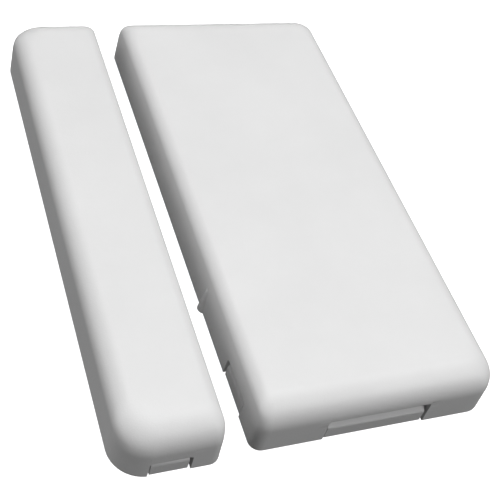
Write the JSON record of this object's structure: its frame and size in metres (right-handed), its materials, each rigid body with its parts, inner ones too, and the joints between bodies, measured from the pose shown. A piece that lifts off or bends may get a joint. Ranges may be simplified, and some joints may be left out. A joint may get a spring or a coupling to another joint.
{
  "type": "door contact sensor",
  "caption": "Two-piece wireless door contact: a thin battery transmitter with lift-off cover, and a narrow magnet unit beside it that slides away as the door opens.",
  "frame": {"origin": "centre of the transmitter's flat back face, which lies on the door frame", "axes": "+Z out from the mounting face; +Y along both housings, away from the release slots; the magnet unit lies on the -X side"},
  "size_m": [0.0476, 0.0705, 0.0072],
  "materials": {
    "white_cover": "satin white molded plastic",
    "white_base": "satin white molded plastic",
    "ferrite": "ground sintered ferrite, matt dark grey",
    "board_green": "green solder mask",
    "screw_steel": "zinc plated",
    "cell_steel": "nickel plated",
    "black_plastic": "matt black molded",
    "spring_strip": "nickel plated spring strip",
    "reed_glass": "clear, slightly green",
    "tinned_wire": "tinned",
    "plunger_plastic": "molded",
    "chip_ceramic": "fired",
    "lid_gold": "gold plated",
    "lid_steel": "plain",
    "tantalum_yellow": "molded",
    "capacitor_tan": "fired",
    "copper_wire": "bare copper"
  },
  "bodies": {
    "transmitter": {"transmitter_base": "white_base", "circuit_board": "board_green", "board_screws": "screw_steel", "coin_cell_can": "cell_steel", "coin_cell_cap": "cell_steel", "coin_cell_seal": "black_plastic", "positive_contact": "spring_strip", "negative_contact": "spring_strip", "reed_glass": "reed_glass", "reed_fixed_lead": "tinned_wire", "reed_far_lead": "tinned_wire", "tamper_switch_body": "black_plastic", "tamper_terminals": "tinned_wire", "tamper_spring": "spring_strip", "controller_body": "black_plastic", "controller_leads": "tinned_wire", "memory_body": "black_plastic", "memory_leads": "tinned_wire", "transistor_body": "black_plastic", "transistor_leads": "tinned_wire", "resonator_base": "chip_ceramic", "resonator_lid": "lid_gold", "crystal_base": "chip_ceramic", "crystal_lid": "lid_steel", "tank_capacitor": "tantalum_yellow", "tank_capacitor_ends": "tinned_wire", "chip_capacitors": "capacitor_tan", "chip_resistors": "black_plastic", "chip_ends": "tinned_wire", "matching_coil": "copper_wire", "antenna_wire": "copper_wire"},
    "transmitter_lid": {"transmitter_cover": "white_cover"},
    "magnet_unit": {"magnet_base": "white_base", "bar_magnet": "ferrite"},
    "magnet_lid": {"magnet_cover": "white_cover"},
    "plunger": {"tamper_plunger": "plunger_plastic"},
    "blade": {"reed_moving_blade": "tinned_wire"}
  },
  "joints": [
    {"name": "transmitter_cover_lift", "type": "slide", "parent": "transmitter", "child": "transmitter_lid", "axis": [0, 0, 1], "range_m": [0, 0.025]},
    {"name": "magnet_slide", "type": "slide", "parent": "transmitter", "child": "magnet_unit", "axis": [-1, 0, 0], "range_m": [0, 0.06]},
    {"name": "magnet_cover_lift", "type": "slide", "parent": "magnet_unit", "child": "magnet_lid", "axis": [0, 0, 1], "range_m": [0, 0.025]},
    {"name": "tamper_plunger_rise", "type": "slide", "parent": "transmitter", "child": "plunger", "axis": [0, 0, 1], "range_m": [0, 0.0005], "deforming": ["tamper_spring"]},
    {"name": "reed_blade_bend", "type": "hinge", "parent": "transmitter", "child": "blade", "pos_m": [-0.0113, -0.0094, 0.00446], "axis": [-1, 0, 0], "range_deg": [0, 1.5]}
  ],
  "couplings": [
    {"joint": "tamper_plunger_rise", "follows": "transmitter_cover_lift", "ratio": 0.02},
    {"joint": "reed_blade_bend", "follows": "magnet_slide", "rad_per_m": 0.43}
  ]
}
